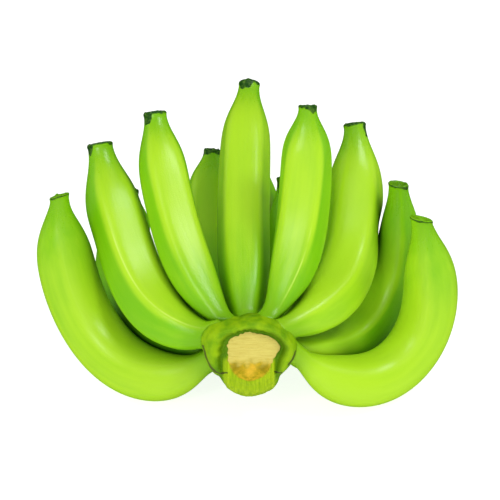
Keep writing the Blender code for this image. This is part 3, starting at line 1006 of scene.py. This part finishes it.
class PeelLook(bpy.types.PropertyGroup):
    """Colours and finish of the peel."""

    # Deep and light green also carry painted light and shade: the side facets, back-row fingers and parts near
    # the root are painted towards the deep green, and the hollow-side facets towards the light green.
    deep: tint("Deep green", "Peel where it is darkest", (0.185, 0.530, 0.0005))
    light: tint("Light green", "Peel where it is lightest", (0.430, 0.735, 0.014))
    ridge: tint("Ridge", "Worn line on the ridges between facets", (0.62, 0.86, 0.12))
    neck: tint("Neck", "Peel of the neck", (0.170, 0.420, 0.001))
    tip: tint("Tip", "Peel close to the flower end", (0.160, 0.440, 0.003))
    # Painted shade: colour painted on the peel where fingers shade each other.
    shade: tint("Shade", "Peel where fingers touch", (0.022, 0.130, 0.001))
    fleck: tint("Fleck", "Small dark marks", (0.06, 0.16, 0.01))
    scar: tint("Scar", "Dry flower end", (0.010, 0.075, 0.002))
    husk: tint("Husk", "Lighter dry tissue on the flower end", (0.085, 0.210, 0.012))
    mottling: amount("Mottling", "Strength of wide colour change", 0.65)
    streaks: amount("Streaks", "Strength of lengthwise streaks", 0.5)
    ridges: amount("Ridge lines", "Strength of the pale ridge lines", 0.62)
    # Strength of the painted shade between fingers.
    shading: amount("Contact shade", "Strength of the deep green where fingers touch", 0.95)
    roughness: amount("Roughness", "Roughness of the skin", 0.31)
    gloss: amount("Gloss", "Strength of the reflection", 0.55)


class CrownLook(bpy.types.PropertyGroup):
    """Colours and finish of the crown."""

    collar: tint("Collar", "Peel of the collar", (0.140, 0.330, 0.001))
    collar_light: tint("Collar light", "Lighter peel of the collar", (0.280, 0.480, 0.002))
    # Painted shade on the collar's inner slope, also used for the collar's dark flecks.
    slope: tint("Inner slope", "Peel inside the collar's ridge", (0.080, 0.200, 0.001))
    stub: tint("Stub", "Stub under the cut", (0.220, 0.380, 0.001))
    stub_light: tint("Stub fibres", "Light fibres of the stub", (0.400, 0.560, 0.006))
    cut: tint("Cut", "Fresh cut", (0.700, 0.610, 0.150))
    cut_deep: tint("Cut fibres", "Darker fibres of the cut", (0.600, 0.490, 0.100))
    brown: tint("Browned", "Browned part of the cut", (0.580, 0.400, 0.015))
    brown_deep: tint("Browned deep", "Darker browned part", (0.360, 0.290, 0.004))
    brown_dark: tint("Browned edge", "Darkest browned places", (0.250, 0.190, 0.003))
    ember: tint("Bright spot", "Brightest orange places", (0.760, 0.480, 0.035))
    scar: tint("Scar", "Dry scar line and crack", (0.075, 0.080, 0.020))
    roughness: amount("Roughness", "Roughness of the collar", 0.46)
    gloss: amount("Gloss", "Strength of the reflection", 0.12)


class Studio(bpy.types.PropertyGroup):
    """Floor, light and camera."""

    floor: tint("Floor", "Pale floor", (0.45, 0.45, 0.45))
    floor_size: metres("Floor size", "Side of the floor", 12.0)
    glow: amount("Floor glow", "Light that the floor gives off", 0.80)
    key: amount("Key light", "Power of the light by the camera", 7.0)
    right: amount("Right light", "Power of the small light above right", 5.0)
    left: amount("Left light", "Power of the small light at the left", 2.8)
    fill: amount("Side fill", "Power of each light at the sides", 6.0)
    sky: amount("Surroundings", "Strength of the even white light", 0.54)
    distance: metres("Camera distance", "From the camera to the hand", 0.900)
    elevation: amount(
        "Camera elevation", "Angle that the camera looks down by", math.radians(32.0), subtype="ANGLE",
    )
    lens: amount("Lens", "Focal length on a 36 mm sensor", 102.6)
    aim: bpy.props.FloatVectorProperty(
        name="Aim", description="Place that the camera looks at",
        default=(0.0026, -0.0474, 0.1074), subtype="TRANSLATION", unit="LENGTH",
    )


def finger_mesh(name, number, fingers, crown, shape):
    """One finger: rings of its faceted, pressed section round its centre line, ended by a dry disc."""
    whole = FINGERS[name].length
    share = row_shares(whole)
    from_end = ((1.0 - share) * whole)[:, None]
    angle = turns(FINGER_COLUMNS)
    line = spine(name, SPINE_STEPS)
    centres, along, sides, hollows = at_shares(line, share)
    outward = rays(hollows, sides, angle)
    free = girth(name, share)[:, None] * section(name, share, angle)
    straight = side_by_side(free * np.cos(angle), free * np.sin(angle), (share * whole)[:, None] + number)
    others = neighbours(name, line[0], fingers)
    coarse_share, coarse_angle, limit = press_limits(name, line, others, shape.gap)
    limit = weights(coarse_share, share) @ limit @ weights(coarse_angle, angle, 2 * np.pi).T
    radii = -shape.rounding * np.log(np.exp(-free / shape.rounding) + np.exp(-limit / shape.rounding))
    waves = (1.0 - fade(from_end, WAVE_FADE)) * ripple(straight, WAVE_LENGTHS, WAVE_SEED + number)
    radii = (radii + shape.unevenness * waves) * (1.0 + RIM_FLARE * fade(from_end, RIM_RUN))
    rings = around_line(centres, outward, radii)
    close = np.linalg.norm(centres - CROWN_AT, axis=1) < CROWN_REACH
    crown_gap = np.ones(radii.shape)
    crown_gap[close] = nearest_signed(rings[close].reshape(-1, 3), *crown).reshape(-1, FINGER_COLUMNS)
    radii = radii + fillet(crown_gap, shape.web)
    fall = np.maximum(-outward[..., 2], LEAST_FALL)
    radii = np.minimum(radii, centres[:, 2][:, None] / fall)
    askew = END_SLANT.get(name, 0.0) * fade(from_end, SLANT_RUN) * radii * np.cos(angle)
    rings = around_line(centres, outward, radii) + along[:, None, :] * askew[..., None]
    ends, end_dry, middle = dry_end(name, number, rings[-1], centres[-1], along[-1], angle, shape.husk)
    core = CROWN_AT + ROOT_CORE
    tails = np.array([
        centres[0] + (core - centres[0]) * run + (rings[0] - centres[0]) * width for run, width in ROOT_TAILS
    ])
    axes = np.stack([hollows[-1], sides[-1], along[-1]], 1)
    end_straight = (ends - centres[-1]) @ axes + (0.0, 0.0, whole + number)
    ridge_gap, ridge_wear = ridge_fields(name, share, angle, free, from_end, shape.faint)
    stain = stain_field(name, number, from_end, angle, straight)
    # Painted light and shade on the facets and along the finger.
    tone = tone_and_painted_shade_field(name, share, angle, number)
    # Painted shade beside the neighbouring fingers.
    shade = painted_shade_field(name, rings, share, angle, from_end, others, shape)
    # Each field with what it is on the rings that narrow to the core and on the dry end.
    fields = {
        "straight": (straight, straight[0], end_straight),
        "ridge_gap": (ridge_gap, ridge_gap[0], ridge_gap[-1]),
        "ridge_wear": (ridge_wear, 0.0, 0.0),
        "dry": (np.maximum(fade(from_end, DRY_RIM_RUN) * DRY_RIM, stain), 0.0, end_dry),
        "near_tip": (fade(from_end, TIP_COLOUR_RUN, TIP_COLOUR_POWER) + 0 * radii, 0.0, 1.0),
        "near_root": (smooth_step(crown_gap, *NECK_COLOUR), 1.0, 0.0),
        "tone": (tone, tone[0], tone[-1]),
        "shade": (shade, shade[0], 0.0),
    }
    for key, (field, start, end) in fields.items():
        start = np.broadcast_to(start, (len(tails), *field.shape[1:]))
        end = np.broadcast_to(end, (len(ends), *field.shape[1:]))
        fields[key] = np.concatenate([start, field, end])
    return ring_mesh("banana_" + name, np.concatenate([tails, rings, ends]), core, middle, fields)


def ridge_fields(name, share, angle, free, from_end, faint):
    """Distance round the skin to the nearest ridge, and how worn that ridge is."""
    away = np.abs(wrapped(angle[:, None] - turns(FACETS, 0.5)))
    wear = np.full(free.shape, faint)
    if name in WORN_RIDGES:
        worn, start, stop = WORN_RIDGES[name]
        window = smooth_step(share, start - WORN_FADE, start) * smooth_step(share, stop + WORN_FADE, stop)
        wear = np.maximum(wear, window[:, None] * (away.argmin(1) == worn))
    return away.min(1) * free, wear * (1 - fade(from_end, RIDGE_END_RUN))


def tone_and_painted_shade_field(name, share, angle, number):
    """How light the peel is, from 0 to 1, as painted light and shade: lighter on the hollow side's facets and
    in the upper middle, darker on the side facets, with a little of each finger's own tone.
    """
    side_root, side_beyond, front_root, front_beyond, start, stop = TONES_AND_PAINTED_SHADE.get(name, USUAL_TONE_AND_PAINTED_SHADE)
    front = smooth_step(np.cos(angle), *np.cos(np.radians(HOLLOW_SIDE)))
    beyond = smooth_step(share, start, stop)[:, None]
    sides = side_root + (side_beyond - side_root) * beyond
    light = front_root + (front_beyond - front_root) * beyond
    own = TONE_SPREAD * math.sin(number * TONE_TURN)
    before_tip = smooth_step(share, 1.0, TIP_FADES.get(name, TIP_FADE))[:, None]
    return (sides + (light - sides) * front + own) * (TIP_TONE + (1 - TIP_TONE) * before_tip)


def painted_shade_field(name, rings, share, angle, from_end, others, shape):
    """Painted shade: dark green painted beside a neighbour where the fingers shade each other, exp(-room /
    run), fading to the flower end and at its own start.
    """
    spare = room(rings[:, ::COLUMN_STEP].reshape(-1, 3), others).reshape(len(rings), -1)
    spare = spare @ weights(angle[::COLUMN_STEP], angle, 2 * np.pi).T
    run, start = PAINTED_SHADE_RUNS.get(name, (shape.painted_shade_run, 0.0))
    before, after = PAINTED_SHADE_EASE
    shade = np.exp(-np.maximum(spare - shape.gap, 0.0) / run) * smooth_step(from_end, *PAINTED_SHADE_FROM_END)
    return shade * smooth_step(share, start - before, start + after)[:, None]


def stain_field(name, number, from_end, angle, straight):
    """Dark stains: 1 by the flower end within each stain's angle, and 0 past its ragged length."""
    stain = np.zeros(straight.shape[:2])
    ragged = 1.0 + STAIN_RAGGEDNESS * ripple(straight, STAIN_WAVE, STAIN_SEED + number)
    for middle, half, reach in STAINS.get(name, ()):
        away = np.abs(wrapped(angle - math.radians(middle))) / math.radians(half)
        reach = reach * np.sqrt(np.maximum(1.0 - away ** 2, 0.0)) * ragged
        stain = np.maximum(stain, smooth_step(from_end - reach, *STAIN_EDGE) * (away < 1.0))
    return stain


def dry_end(name, number, last, centre, along, angle, husk):
    """The flower end: rings that shrink to its middle by END_PROFILE, raised by ragged dry tissue."""
    profile = np.array(END_PROFILE)
    at = np.linspace(0.0, 1.0, END_ROWS + 1)[1:-1]
    known = np.linspace(0.0, 1.0, len(profile))
    width, rise = (np.interp(at, known, values)[:, None] for values in profile.T)
    flat = side_by_side(width * np.cos(angle), width * np.sin(angle))
    lumps = np.maximum(ripple(flat + number * LUMP_SHIFT, LUMP_WAVE, LUMP_SEED + number), 0.0) ** LUMP_POWER
    lumps = lumps * (fade(width - LIP_AT, LIP_WIDTH) + MIDDLE_LUMPS * fade(width, MIDDLE_WIDTH))
    grain = ripple(flat + number * GRAIN_SHIFT, GRAIN_WAVE, GRAIN_SEED + number)
    rise = rise + husk * (lumps + GRAIN_HEIGHT * grain * (1 - width ** GRAIN_FADE_POWER))
    ends = centre + (last - centre) * width[..., None] + along * rise[..., None]
    dry = np.interp(at, list(END_DRYNESS), list(END_DRYNESS.values()))[:, None] + 0 * rise
    dry = dry * GREENER_ENDS.get(name, 1.0)
    dry[:END_EDGE_ROWS] = np.maximum(dry[:END_EDGE_ROWS], END_EDGE_DRYNESS)
    return ends, dry, ends[-1].mean(0) + along * END_MIDDLE_RISE


class BANANA_OT_fingers(bpy.types.Operator):
    """Makes the twelve fingers with their necks and dry flower ends"""

    bl_idname = "banana.fingers"
    bl_label = "Make fingers"

    def execute(self, context):
        shape = context.scene.finger_shape
        material = peel_material(context.scene.peel_look)
        crown = crown_in_world(crown_surface(*COARSE_CROWN)[0])
        crown = (crown.reshape(-1, 3), grid_normals(crown, -1.0).reshape(-1, 3))
        fingers = coarse_fingers()
        for number, name in enumerate(FINGERS):
            mesh = finger_mesh(name, number, fingers, crown, shape)
            finish_piece("banana_" + name, mesh, material, "peel", "finger_" + name)
        return {"FINISHED"}


def crown_webs(places, run, reach):
    """How far the crown swells where it meets the fingers."""
    row_step, column_step = CROWN_STEPS
    some = crown_in_world(places)[::row_step, ::column_step]
    apart = room(some.reshape(-1, 3), coarse_fingers().values()).reshape(some.shape[:2])
    rows = np.arange(len(places))
    columns = np.arange(CROWN_COLUMNS)
    down = weights(rows[::row_step], rows)
    across = weights(columns[::column_step], columns, CROWN_COLUMNS)
    return fillet(down @ apart @ across.T, reach) * smooth_step(run, *WEB_FROM)[:, None]


def crown_marks(places, cut_share, run):
    """Where the crown's colours lie, each as a number from 0 to 1 for every point."""
    flat = places[..., :2]
    right, up = flat[..., 0], flat[..., 1]
    front = smooth_step(run, *FRONT_SHARES)[:, None]
    left_half, right_half = (
        np.interp(up, list(half), list(half.values())) for half in (FLESH_LEFT, FLESH_RIGHT)
    )
    soft = FLESH_EDGE + FLESH_EDGE_BELOW * smooth_step(up, *FLESH_SOFTENS)
    past = np.maximum(right - right_half, -right - left_half) + crown_waves(flat, "flesh edge")
    stub = smooth_step(np.abs(right - STUB_MIDDLE), *STUB_SIDES) * smooth_step(up, *STUB_HEIGHTS) * front
    scar = np.maximum(near_lines(flat, SCAR_LINES, SCAR_WIDTH), near_lines(flat, CRACK_LINES, CRACK_WIDTH))
    return {
        "front": places,
        "flesh": smooth_step(cut_share, *CUT_SHARES) * smooth_step(past / soft, 1.0, -1.0),
        "brown": smooth_step(up + crown_waves(flat, "brown edge"), *BROWN_HEIGHTS),
        "ember": spots(flat, BRIGHT_SPOTS),
        "dark": spots(flat, DARK_SPOTS),
        "stub": stub,
        "scar": scar * front,
        # Painted shade: the inner slope of the collar, save on the stub.
        "slope": smooth_step(cut_share, *SLOPE_SHARES) * (1 - stub),
        "edge": near_lines(flat, STUB_EDGES, CRACK_WIDTH) * front,
    }


def crown_relief(places, fields):
    """Height of the fibres of the cut, the sunk browned part, the stub's ribs and the scar lines."""
    flat = places[..., :2]
    flesh = fields["flesh"]
    bare = crown_waves(flat, "cut fibres") + fields["brown"] * (crown_waves(flat, "torn flesh") - BROWN_SINK)
    skin = crown_waves(flat, "stub ribs") * fields["stub"] + crown_waves(places, "peel")
    lines = fields["edge"] * STUB_EDGE_RISE - fields["scar"] * SCAR_SINK
    return bare * flesh + skin * (1 - flesh) + lines


class BANANA_OT_crown(bpy.types.Operator):
    """Makes the crown: collar, cut face, browned part, stub and closed back"""

    bl_idname = "banana.crown"
    bl_label = "Make crown"

    def execute(self, context):
        places, cut_share, run = crown_surface(CROWN_COLUMNS, CROWN_FRONT_ROWS, CROWN_BACK_ROWS)
        fields = crown_marks(places, cut_share, run)
        height = crown_relief(places, fields) + crown_webs(places, run, context.scene.finger_shape.web)
        places = places + grid_normals(places, -1.0) * height[..., None]
        # The columns are turned round, so that the faces point outwards.
        fields = {key: field[1:-1, ::-1] for key, field in fields.items()}
        rings = crown_in_world(places)[1:-1, ::-1]
        middle, back = (crown_in_world(places[row].mean(0)) for row in (0, -1))
        mesh = ring_mesh("banana_crown", rings, middle, back, fields)
        finish_piece("banana_crown", mesh, crown_material(context.scene.crown_look), "crown", "crown")
        return {"FINISHED"}


def make_floor(studio):
    """A flat grid just under the hand."""
    side = np.linspace(-0.5, 0.5, FLOOR_POINTS) * studio.floor_size
    places = side_by_side(*np.meshgrid(side, side), -FLOOR_DROP).reshape(-1, 3)
    index = np.arange(FLOOR_POINTS ** 2).reshape(FLOOR_POINTS, FLOOR_POINTS)
    quads = np.stack([index[:-1, :-1], index[:-1, 1:], index[1:, 1:], index[1:, :-1]], -1).reshape(-1, 4)
    mesh = bpy.data.meshes.new("floor")
    mesh.from_pydata(places, [], quads.tolist())

    def build(nodes, shader):
        settings = {
            "Base Color": studio.floor, "Roughness": FLOOR_ROUGHNESS, "Specular IOR Level": 0.0,
            "Emission Color": WHITE, "Emission Strength": studio.glow,
        }
        for key, value in settings.items():
            nodes.join(value, shader.inputs[key])

    mesh.materials.append(finished_material("pale_floor", build))
    floor = bpy.data.objects.new("floor", mesh)
    bpy.context.scene.collection.objects.link(floor)
    floor.visible_glossy = False


def make_light(name, place, side, power):
    """A square soft light that faces the hand."""
    made = bpy.data.lights.new(name, "AREA")
    made.size = side
    made.energy = power
    lamp = bpy.data.objects.new(name, made)
    lamp.location = place
    lamp.rotation_euler = (LIGHTS_AIM - lamp.location).to_track_quat("-Z", "Y").to_euler()
    bpy.context.scene.collection.objects.link(lamp)
    return lamp


def make_camera(context, studio):
    """A camera on the photograph's side, aimed at the hand."""
    data = bpy.data.cameras.new("camera")
    data.sensor_width = SENSOR_WIDTH
    data.lens = studio.lens
    camera = bpy.data.objects.new("camera", data)
    down = Vector((0.0, math.cos(studio.elevation), -math.sin(studio.elevation)))
    camera.location = Vector(studio.aim) - down * studio.distance
    camera.rotation_euler = down.to_track_quat("-Z", "Y").to_euler()
    context.scene.collection.objects.link(camera)
    context.scene.camera = camera


class BANANA_OT_stage(bpy.types.Operator):
    """Makes the floor, the lights and the camera"""

    bl_idname = "banana.stage"
    bl_label = "Make stage"

    def execute(self, context):
        studio = context.scene.studio
        make_floor(studio)
        for name, place, side, power, reflected in LIGHTS:
            make_light(name, place, side, getattr(studio, power)).visible_glossy = reflected
        world = bpy.data.worlds.new("white_surroundings")
        world.use_nodes = True
        back = world.node_tree.nodes["Background"]
        back.inputs["Color"].default_value = WHITE
        back.inputs["Strength"].default_value = studio.sky
        world.cycles_visibility.glossy = False
        context.scene.world = world
        context.scene.view_settings.view_transform = "Standard"
        make_camera(context, studio)
        return {"FINISHED"}


class BANANA_PT_panel(bpy.types.Panel):
    """Lists the hand's makers and their settings"""

    bl_label = "Banana hand"
    bl_idname = "BANANA_PT_panel"
    bl_space_type = "VIEW_3D"
    bl_region_type = "UI"
    bl_category = "Banana hand"

    def draw(self, context):
        for maker in MAKERS:
            self.layout.operator(maker.bl_idname)
        for key, kind in SETTINGS.items():
            box = self.layout.box()
            box.label(text=kind.__doc__)
            for field in kind.__annotations__:
                box.prop(getattr(context.scene, key), field)


MAKERS = (BANANA_OT_crown, BANANA_OT_fingers, BANANA_OT_stage)
SETTINGS = {"finger_shape": FingerShape, "peel_look": PeelLook, "crown_look": CrownLook, "studio": Studio}


def register():
    """Adds the settings, the makers and the panel."""
    for kind in (*SETTINGS.values(), *MAKERS, BANANA_PT_panel):
        bpy.utils.register_class(kind)
    for key, kind in SETTINGS.items():
        setattr(bpy.types.Scene, key, bpy.props.PointerProperty(type=kind))


def unregister():
    """Takes the settings, the makers and the panel away again."""
    for key in SETTINGS:
        delattr(bpy.types.Scene, key)
    for kind in reversed((*SETTINGS.values(), *MAKERS, BANANA_PT_panel)):
        bpy.utils.unregister_class(kind)


def main():
    register()
    bpy.ops.banana.crown()
    bpy.ops.banana.fingers()
    bpy.ops.banana.stage()


if __name__ == "__main__":
    main()
